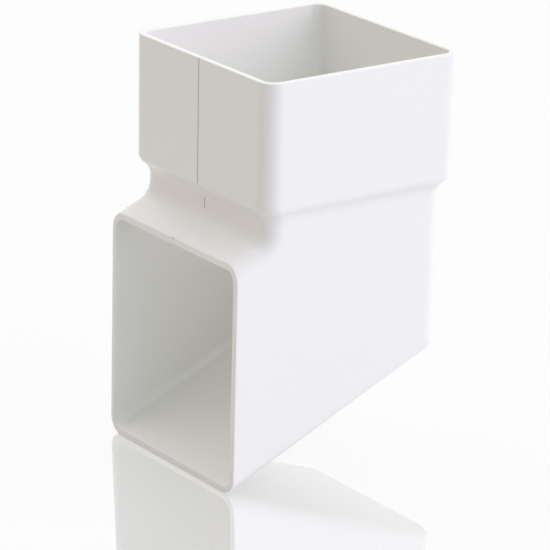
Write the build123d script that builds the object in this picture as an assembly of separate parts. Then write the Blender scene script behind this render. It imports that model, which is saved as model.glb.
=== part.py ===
from build123d import *
from math import cos, radians, tan
import os

# Moulded shoe for the foot of a square rainwater downpipe, all one piece.
# The origin is on the socket's axis, level with the ledge that stops the pipe.
# +Z points up the pipe and -Y points out of the mouth. All sizes are in millimetres.

# Pipe and socket
pipe_width = 65.0         # across the flats of the square pipe
pipe_play = 0.2           # gap on each side of the pipe, down at the ledge
socket_depth = 37.6       # from the ledge up to the rim
socket_draft = 0.31       # degrees that each socket wall leans out towards the rim
socket_corner = 5.5       # outer radius of the four upright edges
wall = 2.1                # one thickness all over

# Step between the socket and the body
step_slope = 45.0         # degrees from the upright
step_shoulder = 2.8       # radius where the socket's wall turns in
step_root = 4.0           # radius where the step meets the body
ledge_chamfer = 0.8       # on the ledge's inner edge, so that it holds no water

# Body and sloping leg
side_step = 2.3           # each side wall stands this far in from the socket's wall above it
front_step = 2.7          # the same at the neck's front wall
back_step = 3.0           # the same at the back wall
mouth_reach = 43.0        # axis to the upright plane of the mouth
knee_drop = 11.25         # ledge to the crease between the neck and the leg
knee_radius = 5.0         # hollow bend in that crease
leg_slope = 23.5          # degrees below the horizontal
leg_depth = 65.35         # from the leg's top to its underside, square to the slope
heel_radius = 3.0         # bend between the back wall and the underside
body_corner = 5.3         # outer radius of the long edges

# Rounded ends
rim_round = 0.45          # both edges of the socket's rim
mouth_round = 0.45        # outer edge of the mouth
mouth_inner_round = 0.35  # inner edge of the mouth
inner_heel = 0.8          # least radius of the bend inside the heel
overrun = 5.0             # how far a cutting shape runs past what it cuts
touch = 0.01              # levels closer than this are the same

draft_rate = tan(radians(socket_draft))
slope_rate = tan(radians(leg_slope))
step_rate = tan(radians(step_slope))
ledge_half = pipe_width / 2 + pipe_play
socket_half = ledge_half + wall
body_half = socket_half - side_step
front_reach = socket_half - front_step
back_reach = socket_half - back_step

# The step starts where it leaves a full wall round the outer corner of the ledge
step_top = -wall * (1 / cos(radians(step_slope)) - 1) / step_rate
step_bottom = step_top - max(side_step, front_step, back_step) / step_rate


def socket_form(half, corner, low):
    # solid with the socket's draft, from the rim down to a level; half is its half width at the ledge
    side = 2 * (half + socket_depth * draft_rate)
    rim_section = Pos(0, 0, socket_depth) * RectangleRounded(side, side, corner)
    return extrude(rim_section, low - socket_depth, taper=socket_draft)


def side_outline(inset, top, reach, heel):
    # neck, leg and back seen from the side, as (Y, Z), set in from the outer skin
    front = -(front_reach - inset)
    back = back_reach - inset
    crease = -knee_drop - inset / cos(radians(leg_slope)) + inset * slope_rate
    mouth_top = crease - (reach + front) * slope_rate
    mouth_bottom = mouth_top - (leg_depth - 2 * inset) / cos(radians(leg_slope))
    heel_level = mouth_bottom + (reach + back) * slope_rate
    outline = make_face(
        Polyline(
            (front, top),
            (front, crease),
            (-reach, mouth_top),
            (-reach, mouth_bottom),
            (back, heel_level),
            (back, top),
            close=True,
        )
    )
    knee = outline.vertices().sort_by_distance((front, crease, 0))[0]
    outline = fillet(knee, knee_radius + inset)
    if heel > 0:
        corner = outline.vertices().sort_by_distance((back, heel_level, 0))[0]
        outline = fillet(corner, heel)
    return Plane.YZ * outline


def foot_form(inset, top, reach):
    # solid neck, body and leg as one form, with its long edges and its heel rounded
    half = body_half - inset
    square_heel = extrude(side_outline(inset, top, reach, 0), half, both=True)
    sides = square_heel.faces().sort_by(Axis.X)
    long_edges = ShapeList()
    for edge in sides[0].edges() + sides[-1].edges():
        middle = edge.center()
        if middle.Z < top - touch and middle.Y > touch - reach:
            long_edges.append(edge)
    rounded = fillet(long_edges, body_corner - inset)
    heel = max(heel_radius - inset, inner_heel)
    return rounded & extrude(side_outline(inset, top, reach, heel), half, both=True)


def at_level(edges, level):
    return edges.filter_by(lambda edge: abs(edge.center().Z - level) < touch)


# Outer form: the foot, the socket above it, and the step that joins them
foot = foot_form(0, step_bottom, mouth_reach)
socket = socket_form(socket_half, socket_corner, step_top)
step = loft([foot.faces().sort_by(Axis.Z)[-1], socket.faces().sort_by(Axis.Z)[0]], ruled=True)
outer_form = foot + step + socket
outer_form = fillet(at_level(outer_form.edges(), step_top), step_shoulder)
outer_form = fillet(at_level(outer_form.edges(), step_bottom), step_root)

# Inner form: the bore for the pipe down to the ledge, then the waterway out to the mouth
bore = socket_form(ledge_half, socket_corner - wall, 0)
waterway = foot_form(wall, 0, mouth_reach + overrun)
downpipe_shoe = outer_form - bore - waterway

# Rounded rim and mouth, and the chamfer inside the ledge
rim = downpipe_shoe.faces().sort_by(Axis.Z)[-1]
downpipe_shoe = fillet(rim.edges(), rim_round)
mouth = downpipe_shoe.faces().sort_by(Axis.Y)[0]
downpipe_shoe = fillet(mouth.outer_wire().edges(), mouth_round)
mouth = downpipe_shoe.faces().sort_by(Axis.Y)[0]
downpipe_shoe = fillet(mouth.inner_wires()[0].edges(), mouth_inner_round)
ledge = downpipe_shoe.faces().filter_by(Axis.Z).sort_by(lambda face: abs(face.center().Z))[0]
downpipe_shoe = chamfer(ledge.inner_wires()[0].edges(), ledge_chamfer)

os.makedirs("parts", exist_ok=True)
export_step(downpipe_shoe, "parts/downpipe_shoe.step")
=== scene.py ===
from math import cos, radians, tan

import bmesh
import bpy
from mathutils import Matrix, Vector


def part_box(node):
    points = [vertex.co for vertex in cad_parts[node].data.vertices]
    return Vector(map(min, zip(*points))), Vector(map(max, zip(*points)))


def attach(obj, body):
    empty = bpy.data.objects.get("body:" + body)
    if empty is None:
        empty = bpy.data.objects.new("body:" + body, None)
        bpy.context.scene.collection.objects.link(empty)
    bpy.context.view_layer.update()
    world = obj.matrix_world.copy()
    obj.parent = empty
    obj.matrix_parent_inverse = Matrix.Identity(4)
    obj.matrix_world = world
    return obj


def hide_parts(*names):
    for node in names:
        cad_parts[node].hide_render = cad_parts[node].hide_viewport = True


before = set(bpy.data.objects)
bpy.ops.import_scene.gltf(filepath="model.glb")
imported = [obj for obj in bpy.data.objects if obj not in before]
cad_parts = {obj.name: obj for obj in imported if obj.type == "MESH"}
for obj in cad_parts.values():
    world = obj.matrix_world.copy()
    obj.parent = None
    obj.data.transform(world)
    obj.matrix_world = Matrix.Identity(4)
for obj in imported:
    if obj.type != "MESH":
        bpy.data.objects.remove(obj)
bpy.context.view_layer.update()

mm = 0.001
tolerance = 0.002 * mm  # places closer than this are the same
facing = 0.9            # least share of a face's normal along the way that the face looks
lowCorner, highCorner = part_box("downpipe_shoe")


# Helpers for edit mode: everything is picked by its place

def deselectAll():
    if bpy.context.mode != "OBJECT":
        bpy.ops.object.mode_set(mode="OBJECT")
    bpy.ops.object.select_all(action="DESELECT")


def makeActive(piece):
    deselectAll()
    piece.select_set(True)
    bpy.context.view_layer.objects.active = piece


def near(a, b):
    return abs(a - b) < tolerance


def pick(kind, test):
    # kind is verts, edges or faces, as in the selection modes
    bpy.ops.mesh.select_mode(type={"verts": "VERT", "edges": "EDGE", "faces": "FACE"}[kind])
    bpy.ops.mesh.select_all(action="DESELECT")
    piece = bpy.context.edit_object
    mesh = bmesh.from_edit_mesh(piece.data)
    for item in getattr(mesh, kind):
        if test(item):
            item.select = True
    mesh.select_flush_mode()
    bmesh.update_edit_mesh(piece.data)


def applyModifiers(piece):
    makeActive(piece)
    for modifier in list(piece.modifiers):
        bpy.ops.object.modifier_apply(modifier=modifier.name)


def roundByWeight(piece, name, width, steps):
    # each edge is rounded by its own bevel weight times the width
    rounding = piece.modifiers.new(name, "BEVEL")
    rounding.limit_method = "WEIGHT"
    rounding.width = width
    rounding.segments = steps
    rounding.use_clamp_overlap = False
    applyModifiers(piece)


# The shoe: one moulding, remodelled with clean round edges and the mould's parting line

shoe = {
    "name": "mouldedShoe",
    "pipeHalf": 32.5 * mm,       # half of the 65 mm pipe
    "pipePlay": 0.2 * mm,
    "wall": 2.1 * mm,
    "draft": radians(0.31),      # the socket leans out by this
    "sideStep": 2.3 * mm,        # how far the body stands in from the socket
    "frontStep": 2.7 * mm,
    "backStep": 3.0 * mm,
    "ledgeChamfer": 0.8 * mm,
    "kneeDrop": 11.25 * mm,      # ledge to the crease over the leg
    "kneeRadius": 5.0 * mm,
    "legSlope": radians(23.5),
    "legDepth": 65.35 * mm,      # square to the slope
    "heelRadius": 3.0 * mm,
    "innerHeel": 0.9 * mm,
    "bodyCorner": 5.35 * mm,     # long edges, outside
    "stepSlope": radians(45),
    "shoulderRadius": 2.8 * mm,
    "rootRadius": 4.0 * mm,
    "rimRound": 0.45 * mm,
    "mouthRound": 0.45 * mm,
    "mouthInnerRound": 0.35 * mm,
    "widestRound": 1.0 * mm,     # longest reach of those rounds, where the underside meets the mouth
    "leastTurn": radians(40),    # edges at the ends that turn less than this are left alone
    "endMiddle": {2: 0, 1: -52 * mm},  # height of each open end's middle, by the axis it looks along
    "cornerSteps": 12,           # facets round a quarter turn
    "bendSteps": 10,             # facets in the knee and the step
    "edgeSteps": 4,              # facets on the small end rounds
    "flatBelow": radians(0.5),   # faces that turn less than this become one
    "smoothBelow": radians(32),  # edges that turn less than this are shaded smooth
    "lineWidth": 0.4 * mm,       # parting line, a fine groove all round the middle
    "lineDepth": 0.2 * mm,       # on the upright walls
    "fineLineDepth": 0.03 * mm,  # on the step and the leg, where the mould closed better
    "lineStops": (-0.95 * mm, -5.2 * mm, -8.6 * mm),  # deep above the first, and between the others
    "besideLine": 0.6,           # share of a width to each side of the middle, to pick all of its points
    "outsideWeight": 0.9,        # least weight of a point that counts as on the outer skin
    "nickWidth": 1.4 * mm,       # nick in the mouth's top edge, where the line ends
    "nickLength": 1.2 * mm,
    "nickDepth": 0.4 * mm,
}


def socketHalfAt(level, half):
    return half + level * tan(shoe["draft"])


def skinRings(inset):
    # outlines from the body up to the rim, as level, half width, front and back
    ledgeHalf = shoe["pipeHalf"] + shoe["pipePlay"]
    socketHalf = ledgeHalf + shoe["wall"]
    body = (
        socketHalf - shoe["sideStep"] - inset,
        socketHalf - shoe["frontStep"] - inset,
        socketHalf - shoe["backStep"] - inset,
    )
    rim = highCorner.z
    if inset == 0:
        drop = max(shoe["sideStep"], shoe["frontStep"], shoe["backStep"])
        stepTop = -shoe["wall"] * (1 / cos(shoe["stepSlope"]) - 1) / tan(shoe["stepSlope"])
        stepBottom = stepTop - drop / tan(shoe["stepSlope"])
        upper = [(level, *[socketHalfAt(level, socketHalf)] * 3) for level in (stepTop, rim)]
        return [(stepBottom, *body)] + upper
    chamfer = shoe["ledgeChamfer"]
    upper = [(level, *[socketHalfAt(level, ledgeHalf)] * 3) for level in (0, rim)]
    return [(-chamfer, *body), (0, *[size + chamfer for size in body])] + upper


def extrudeRing(old, new):
    # one more outline above the top face
    # each side is moved out by itself, so that the corners keep their round
    bpy.ops.mesh.extrude_region_move(TRANSFORM_OT_translate={"value": (0, 0, new[0] - old[0])})
    mesh = bmesh.from_edit_mesh(bpy.context.edit_object.data)
    mesh.verts.index_update()
    top = {vert.index for vert in mesh.verts if vert.select}
    moves = (
        (lambda place: place.x > 0, (new[1] - old[1], 0, 0)),
        (lambda place: place.x < 0, (old[1] - new[1], 0, 0)),
        (lambda place: place.y < 0, (0, old[2] - new[2], 0)),
        (lambda place: place.y > 0, (0, new[3] - old[3], 0)),
    )
    for isSide, move in moves:
        pick("verts", lambda vert: vert.index in top and isSide(vert.co))
        bpy.ops.transform.translate(value=move)
    pick("verts", lambda vert: vert.index in top)


def makeSkin(name, inset, corner, knee, heel):
    rings = skinRings(inset)
    level, half, front, back = rings[0]
    slope = shoe["legSlope"]
    mouth = lowCorner.y
    crease = -shoe["kneeDrop"] - inset / cos(slope) + inset * tan(slope)
    mouthTop = crease + (mouth + front) * tan(slope)
    mouthBottom = mouthTop - (shoe["legDepth"] - 2 * inset) / cos(slope)

    def floorAt(y):
        return mouthBottom + (y - mouth) * tan(slope)

    # upright column of the neck, with its front, back and side walls
    bpy.ops.mesh.primitive_cube_add(size=1, location=(0, (back - front) / 2, (level + crease) / 2))
    skin = bpy.context.active_object
    skin.name = name
    skin.scale = (2 * half, front + back, level - crease)
    bpy.ops.object.transform_apply(location=True, rotation=True, scale=True)
    bpy.ops.object.mode_set(mode="EDIT")

    # down to the heel, then the leg forward to the mouth
    pick("faces", lambda face: face.normal.z < -facing)
    bpy.ops.mesh.extrude_region_move(TRANSFORM_OT_translate={"value": (0, 0, floorAt(back) - crease)})
    pick("faces", lambda face: face.normal.y < -facing and face.calc_center_median().z < crease)
    bpy.ops.mesh.extrude_region_move(TRANSFORM_OT_translate={"value": (0, mouth + front, 0)})

    # slope the leg's top and underside
    pick("verts", lambda vert: near(vert.co.y, mouth) and near(vert.co.z, crease))
    bpy.ops.transform.translate(value=(0, 0, mouthTop - crease))
    pick("verts", lambda vert: near(vert.co.y, mouth) and near(vert.co.z, floorAt(back)))
    bpy.ops.transform.translate(value=(0, 0, mouthBottom - floorAt(back)))
    pick("verts", lambda vert: near(vert.co.y, -front) and near(vert.co.z, floorAt(back)))
    bpy.ops.transform.translate(value=(0, 0, floorAt(-front) - floorAt(back)))
    bpy.ops.mesh.select_all(action="SELECT")
    bpy.ops.mesh.dissolve_limited(angle_limit=shoe["flatBelow"])

    # hollow bend in the crease
    pick("edges", lambda edge: all(near(v.co.y, -front) and near(v.co.z, crease) for v in edge.verts))
    bendReach = tan((radians(90) - slope) / 2)
    bpy.ops.mesh.bevel(offset=knee * bendReach, segments=shoe["bendSteps"], affect="EDGES")

    # long edges and heel, rounded together so that they run into each other
    def isLong(edge):
        a, b = (vert.co for vert in edge.verts)
        along = near(a.x, b.x) and near(a.z, b.z)
        return a.x * b.x > 0 and not along and not (near(a.y, mouth) and near(b.y, mouth))

    pick("edges", isLong)
    bpy.ops.transform.edge_bevelweight(value=1)
    pick("edges", lambda edge: all(near(v.co.y, back) and near(v.co.z, floorAt(back)) for v in edge.verts))
    bpy.ops.transform.edge_bevelweight(value=heel * bendReach / corner)
    bpy.ops.object.mode_set(mode="OBJECT")
    roundByWeight(skin, "longEdges", corner, shoe["cornerSteps"])

    # up through the step to the rim
    bpy.ops.object.mode_set(mode="EDIT")
    pick("faces", lambda face: near(face.calc_center_median().z, level))
    for lower, upper in zip(rings, rings[1:]):
        extrudeRing(lower, upper)
    bpy.ops.object.mode_set(mode="OBJECT")
    print(name, "rounded,", len(skin.data.vertices), "points")
    return skin


def openEnds(skin):
    # the pipe comes in at the top and the water goes out at the mouth
    makeActive(skin)
    bpy.ops.object.mode_set(mode="EDIT")
    pick("faces", lambda face: near(face.calc_center_median().z, highCorner.z)
         or near(face.calc_center_median().y, lowCorner.y))
    bpy.ops.mesh.delete(type="ONLY_FACE")
    bpy.ops.object.mode_set(mode="OBJECT")


def roundStep(outer):
    makeActive(outer)
    bpy.ops.object.mode_set(mode="EDIT")
    rings = skinRings(0)
    bend = tan(shoe["stepSlope"] / 2)
    for level, radius in ((rings[1][0], shoe["shoulderRadius"]), (rings[0][0], shoe["rootRadius"])):
        pick("edges", lambda edge: all(near(vert.co.z, level) for vert in edge.verts))
        bpy.ops.mesh.bevel(offset=radius * bend, segments=shoe["bendSteps"], affect="EDGES")
    bpy.ops.object.mode_set(mode="OBJECT")


def splitAtLine(skin):
    # edges close together where the mould's halves meet
    makeActive(skin)
    bpy.ops.object.mode_set(mode="EDIT")
    line, nick = shoe["lineWidth"] / 2, shoe["nickWidth"] / 2
    for x in (-nick, -line, 0, line, nick):
        bpy.ops.mesh.select_all(action="SELECT")
        bpy.ops.mesh.bisect(plane_co=(x, 0, 0), plane_no=(1, 0, 0))
    bpy.ops.mesh.select_all(action="SELECT")
    bpy.ops.mesh.bisect(plane_co=(0, lowCorner.y + shoe["nickLength"], 0), plane_no=(0, 1, 0))
    bpy.ops.object.mode_set(mode="OBJECT")


def bridgeEnd(axis, place):
    pick("edges", lambda edge: edge.is_boundary and all(near(v.co[axis], place) for v in edge.verts))
    bpy.ops.mesh.bridge_edge_loops()


def roundEnds(piece):
    # a wider turn takes a longer reach, so that the radius is the same all round
    ends = {
        2: (highCorner.z, shoe["rimRound"], shoe["rimRound"]),
        1: (lowCorner.y, shoe["mouthRound"], shoe["mouthInnerRound"]),
    }
    mesh = bmesh.from_edit_mesh(piece.data)
    layers = mesh.edges.layers.float
    weights = layers.get("bevel_weight_edge") or layers.new("bevel_weight_edge")
    for edge in mesh.edges:
        edge[weights] = 0
        for axis, (place, outerRound, innerRound) in ends.items():
            if not all(near(vert.co[axis], place) for vert in edge.verts):
                continue
            turn = edge.calc_face_angle(0)
            if turn < shoe["leastTurn"]:
                continue
            side = [face for face in edge.link_faces if abs(face.normal[axis]) < facing][0]
            middle = (edge.verts[0].co + edge.verts[1].co) / 2 - Vector((0, 0, shoe["endMiddle"][axis]))
            radius = outerRound if side.normal.dot(middle) > 0 else innerRound
            edge[weights] = radius * tan(turn / 2) / shoe["widestRound"]
    bpy.ops.object.mode_set(mode="OBJECT")
    roundByWeight(piece, "endRounds", shoe["widestRound"], shoe["edgeSteps"])


def pressLine(piece):
    # a groove on the outside only: deep on the flat upright walls, hardly there on the step and the leg
    group = piece.vertex_groups["outside"].index
    backWall = shoe["pipeHalf"] + shoe["pipePlay"] + shoe["wall"] - shoe["backStep"]

    def isOutside(vert):
        weights = bmesh.from_edit_mesh(piece.data).verts.layers.deform.active
        return vert[weights].get(group, 0) > shoe["outsideWeight"]

    def isUpright(vert):
        if near(vert.co.y, backWall):
            return True
        socketEnd, neckTop, neckEnd = shoe["lineStops"]
        return vert.co.z > socketEnd or neckTop > vert.co.z > neckEnd

    def isNick(vert):
        inFront = vert.co.y < lowCorner.y + shoe["nickLength"] - tolerance
        return isOutside(vert) and inFront and vert.co.z > shoe["endMiddle"][1]

    def isWithin(vert, width):
        return abs(vert.co.x) < shoe["besideLine"] * width

    for upright, depth in ((True, shoe["lineDepth"]), (False, shoe["fineLineDepth"])):
        pick("verts", lambda vert: near(vert.co.x, 0) and isOutside(vert) and isUpright(vert) == upright
             and not isNick(vert))
        bpy.ops.transform.shrink_fatten(value=-depth)
    pick("verts", lambda vert: isWithin(vert, shoe["lineWidth"]) and isNick(vert))
    bpy.ops.transform.translate(value=(0, 0, -shoe["nickDepth"]))

    # faces of the groove and the nick, drawn in the darker material as painted shade
    pick("faces", lambda face: all(
        isOutside(vert) and (isWithin(vert, shoe["lineWidth"]) and isUpright(vert)
                             or isWithin(vert, shoe["nickWidth"]) and isNick(vert))
        for vert in face.verts))
    piece.active_material_index = 1
    bpy.ops.object.material_slot_assign()


def makeShoe():
    inset = shoe["wall"]
    outer = makeSkin("outerSkin", 0, shoe["bodyCorner"], shoe["kneeRadius"], shoe["heelRadius"])
    inner = makeSkin("innerSkin", inset, shoe["bodyCorner"] - inset, shoe["kneeRadius"] + inset,
                     shoe["innerHeel"])
    roundStep(outer)
    for skin in (outer, inner):
        splitAtLine(skin)
        openEnds(skin)
    outer.vertex_groups.new(name="outside").add([v.index for v in outer.data.vertices], 1, "REPLACE")
    makeActive(inner)
    bpy.ops.object.mode_set(mode="EDIT")
    bpy.ops.mesh.select_all(action="SELECT")
    bpy.ops.mesh.flip_normals()
    makeActive(outer)
    inner.select_set(True)
    bpy.ops.object.join()
    piece = outer
    piece.name = shoe["name"]
    piece.data.name = shoe["name"]
    print("skins joined")

    bpy.ops.object.mode_set(mode="EDIT")
    bridgeEnd(2, highCorner.z)
    bridgeEnd(1, lowCorner.y)
    roundEnds(piece)
    print("rim and mouth closed and rounded")

    clean = mouldedPvc("injection moulded white PVC", plastic["body"], plastic["bodyShade"])
    # the second material is painted shade: a darker colour in the parting line's groove and nick, standing
    # in for the shade that falls there
    paintedGrooveShade = mouldedPvc("white PVC greyed in the parting line", plastic["line"], plastic["lineShade"])
    for material in (clean, paintedGrooveShade):
        piece.data.materials.append(material)
    bpy.ops.object.mode_set(mode="EDIT")
    pressLine(piece)
    bpy.ops.object.mode_set(mode="OBJECT")
    piece.vertex_groups.clear()
    print("parting line pressed in")
    bpy.ops.object.shade_smooth_by_angle(angle=shoe["smoothBelow"])
    weighted = piece.modifiers.new("evenShading", "WEIGHTED_NORMAL")
    weighted.keep_sharp = True
    applyModifiers(piece)
    return piece


# Materials

def linear(hexColour):
    # sRGB hex to linear
    parts = [int(hexColour[i:i + 2], 16) / 255 for i in (0, 2, 4)]
    return (*[c / 12.92 if c <= 0.04045 else ((c + 0.055) / 1.055) ** 2.4 for c in parts], 1)


def addNode(tree, kind, settings=None, sockets=None, links=None):
    # settings are the node's own, sockets are input values, links join an input to another output
    node = tree.nodes.new(kind)
    for key, value in (settings or {}).items():
        setattr(node, key, value)
    for key, value in (sockets or {}).items():
        node.inputs[key].default_value = value
    for key, source in (links or {}).items():
        tree.links.new(source, node.inputs[key])
    return node


def newMaterial(name):
    material = bpy.data.materials.new(name)
    material.use_nodes = True
    material.node_tree.nodes.clear()
    return material, material.node_tree


plastic = {
    "body": "faf9f7",
    "bodyShade": "f7f6f4",       # faint tone drift in the melt
    "line": "b4afa8",            # painted shade in the parting line's groove and nick
    # lighter end of the same painted shade, mixed in by the drift
    "lineShade": "d8d5d0",
    "drift": 30 * mm,            # size of that drift
    "roughness": 0.3,
    "ior": 1.53,                 # rigid PVC
    "grain": 0.5 * mm,           # mould texture, drawn coarser than the real one so that it shows
    "grainDepth": 0.002 * mm,
    "driftDetail": 2,
    "grainDetail": 3,
}


def mouldedPvc(name, colourA, colourB):
    # white rigid PVC, injection moulded: an even, glossy skin that took the mould's faint grain
    material, tree = newMaterial(name)
    place = addNode(tree, "ShaderNodeTexCoord")
    drift = addNode(tree, "ShaderNodeTexNoise", None,
                    {"Scale": 1 / plastic["drift"], "Detail": plastic["driftDetail"]},
                    {"Vector": place.outputs["Object"]})
    colour = addNode(tree, "ShaderNodeMix", {"data_type": "RGBA"}, None, {"Factor": drift.outputs["Fac"]})
    colour.inputs[6].default_value = linear(colourA)
    colour.inputs[7].default_value = linear(colourB)
    grain = addNode(tree, "ShaderNodeTexNoise", None,
                    {"Scale": 1 / plastic["grain"], "Detail": plastic["grainDetail"]},
                    {"Vector": place.outputs["Object"]})
    bump = addNode(tree, "ShaderNodeBump", None,
                   {"Strength": 1, "Distance": plastic["grainDepth"]}, {"Height": grain.outputs["Fac"]})
    shader = addNode(tree, "ShaderNodeBsdfPrincipled", None,
                     {"Roughness": plastic["roughness"], "IOR": plastic["ior"]},
                     {"Base Color": colour.outputs[2], "Normal": bump.outputs["Normal"]})
    addNode(tree, "ShaderNodeOutputMaterial", None, None, {"Surface": shader.outputs["BSDF"]})
    return material


# Studio

studio = {
    "white": 0.985,              # what the camera sees past the object
    "floorTilt": 0.0284,         # rise of the floor along +Y
    "floorSize": 4.0,            # metres
    "floorColour": "f4f4f4",
    "floorRoughness": 0.03,
    "floorGloss": 0.55,          # how much of the mirror image the camera sees
    "floorShade": 0.2,           # how much of the shadow the camera sees
    "floorMirror": 0.8,          # share of the light on it that goes on to the shoe as from a mirror
    "azimuth": radians(53.78),
    "elevation": radians(18.85),
    "roll": radians(1.39),
    "distance": 1063.94 * mm,
    "aim": Vector((15.23, -16.96, -27.75)) * mm,
    "lens": 236.09,
    "nearestSeen": 0.01,         # metres
}


# light tent round the shoe, in place of lamps
# each glow has the way it lies in, how narrow it is, and its red, green and blue
tent = {
    "front": ((0, -1, 0), 2, (0.39, 0.26, 0.15)),
    "right": ((1, 0, 0), 2, (0.33, 0.43, 0.42)),
    "rightTop": ((1, 0, 1), 4, (0.44, 0.58, 0.62)),
    "rightBack": ((1, 1, 0.6), 4, (1.84, 1.4, 1.84)),
    "leftTop": ((-1, 0, 1), 4, (2.12, 2.06, 2.16)),
    "backTop": ((0, 1, 1), 4, (0.2, 0.48, 0.12)),
}


def seenDirectly(tree):
    # 1 for what the camera sees, straight or in a gloss or through glass
    # 0 for light on its way to a matt surface
    path = addNode(tree, "ShaderNodeLightPath")
    gloss = addNode(tree, "ShaderNodeMath", {"operation": "MAXIMUM"}, None,
                    {0: path.outputs["Is Camera Ray"], 1: path.outputs["Is Glossy Ray"]})
    clear = addNode(tree, "ShaderNodeMath", {"operation": "MAXIMUM"}, None,
                    {0: gloss.outputs[0], 1: path.outputs["Is Transmission Ray"]})
    unscattered = addNode(tree, "ShaderNodeMath", {"operation": "LESS_THAN"}, {1: 0.5},
                          {0: path.outputs["Diffuse Depth"]})
    return addNode(tree, "ShaderNodeMath", {"operation": "MULTIPLY"}, None,
                   {0: clear.outputs[0], 1: unscattered.outputs[0]}).outputs[0]


def tentLight(tree):
    # each glow fades with the angle from its own direction
    place = addNode(tree, "ShaderNodeTexCoord")
    total = None
    for direction, focus, level in tent.values():
        along = addNode(tree, "ShaderNodeVectorMath", {"operation": "DOT_PRODUCT"},
                        {1: Vector(direction).normalized()}, {0: place.outputs["Generated"]})
        ahead = addNode(tree, "ShaderNodeMath", {"operation": "MAXIMUM"}, {1: 0},
                        {0: along.outputs["Value"]})
        share = addNode(tree, "ShaderNodeMath", {"operation": "POWER"}, {1: focus}, {0: ahead.outputs[0]})
        light = addNode(tree, "ShaderNodeVectorMath", {"operation": "SCALE"}, {0: level},
                        {"Scale": share.outputs[0]}).outputs[0]
        if total is not None:
            light = addNode(tree, "ShaderNodeVectorMath", {"operation": "ADD"}, None,
                            {0: total, 1: light}).outputs[0]
        total = light
    return total


def makeWorld():
    world = bpy.data.worlds.new("studio")
    bpy.context.scene.world = world
    world.use_nodes = True
    tree = world.node_tree
    tree.nodes.clear()
    white = [studio["white"]] * 3 + [1]
    level = addNode(tree, "ShaderNodeMix", {"data_type": "RGBA"}, {7: white},
                    {0: seenDirectly(tree), 6: tentLight(tree)})
    background = addNode(tree, "ShaderNodeBackground", None, {"Strength": 1}, {"Color": level.outputs[2]})
    addNode(tree, "ShaderNodeOutputWorld", None, None, {"Surface": background.outputs[0]})


def glossyFloor():
    # white acrylic sheet, bright as a light table and polished, with a mirror image of the shoe in it
    # it throws the tent's light up on the shoe, most of it as a mirror does
    material, tree = newMaterial("lit white acrylic sheet")
    bright = addNode(tree, "ShaderNodeEmission", None,
                     {"Color": linear("ffffff"), "Strength": studio["white"]})
    matt = addNode(tree, "ShaderNodeBsdfDiffuse", None, {"Color": linear(studio["floorColour"])})
    mirror = addNode(tree, "ShaderNodeBsdfGlossy", None,
                     {"Color": linear("ffffff"), "Roughness": studio["floorRoughness"]})
    pale = addNode(tree, "ShaderNodeMixShader", None, {0: studio["floorShade"]},
                   {1: bright.outputs[0], 2: matt.outputs[0]})
    seen = addNode(tree, "ShaderNodeMixShader", None, {0: studio["floorGloss"]},
                   {1: pale.outputs[0], 2: mirror.outputs[0]})
    lighting = addNode(tree, "ShaderNodeMixShader", None, {0: studio["floorMirror"]},
                       {1: matt.outputs[0], 2: mirror.outputs[0]})
    both = addNode(tree, "ShaderNodeMixShader", None, None,
                   {0: seenDirectly(tree), 1: lighting.outputs[0], 2: seen.outputs[0]})
    addNode(tree, "ShaderNodeOutputMaterial", None, None, {"Surface": both.outputs[0]})
    return material


def makeFloor():
    deselectAll()
    bpy.ops.mesh.primitive_plane_add(size=studio["floorSize"])
    floor = bpy.context.active_object
    floor.name = "floor"
    mesh = floor.data
    for vert in mesh.vertices:
        vert.co.z = lowCorner.z + studio["floorTilt"] * (vert.co.y - lowCorner.y)
    mesh.materials.append(glossyFloor())


def makeCamera():
    data = bpy.data.cameras.new("camera")
    data.lens = studio["lens"]
    data.clip_start = studio["nearestSeen"]
    camera = bpy.data.objects.new("camera", data)
    bpy.context.scene.collection.objects.link(camera)
    turn = (
        Matrix.Rotation(studio["azimuth"], 4, "Z")
        @ Matrix.Rotation(radians(90) - studio["elevation"], 4, "X")
        @ Matrix.Rotation(studio["roll"], 4, "Z")
    )
    back = Matrix.Translation((0, 0, studio["distance"]))
    camera.matrix_world = Matrix.Translation(studio["aim"]) @ turn @ back
    bpy.context.scene.camera = camera


# Putting it together

deselectAll()
shoePiece = makeShoe()
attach(shoePiece, "root")
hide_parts("downpipe_shoe")
print("shoe finished,", len(shoePiece.data.polygons), "faces")

makeWorld()
makeFloor()
makeCamera()
bpy.context.scene.view_settings.view_transform = "Standard"
print("studio ready")
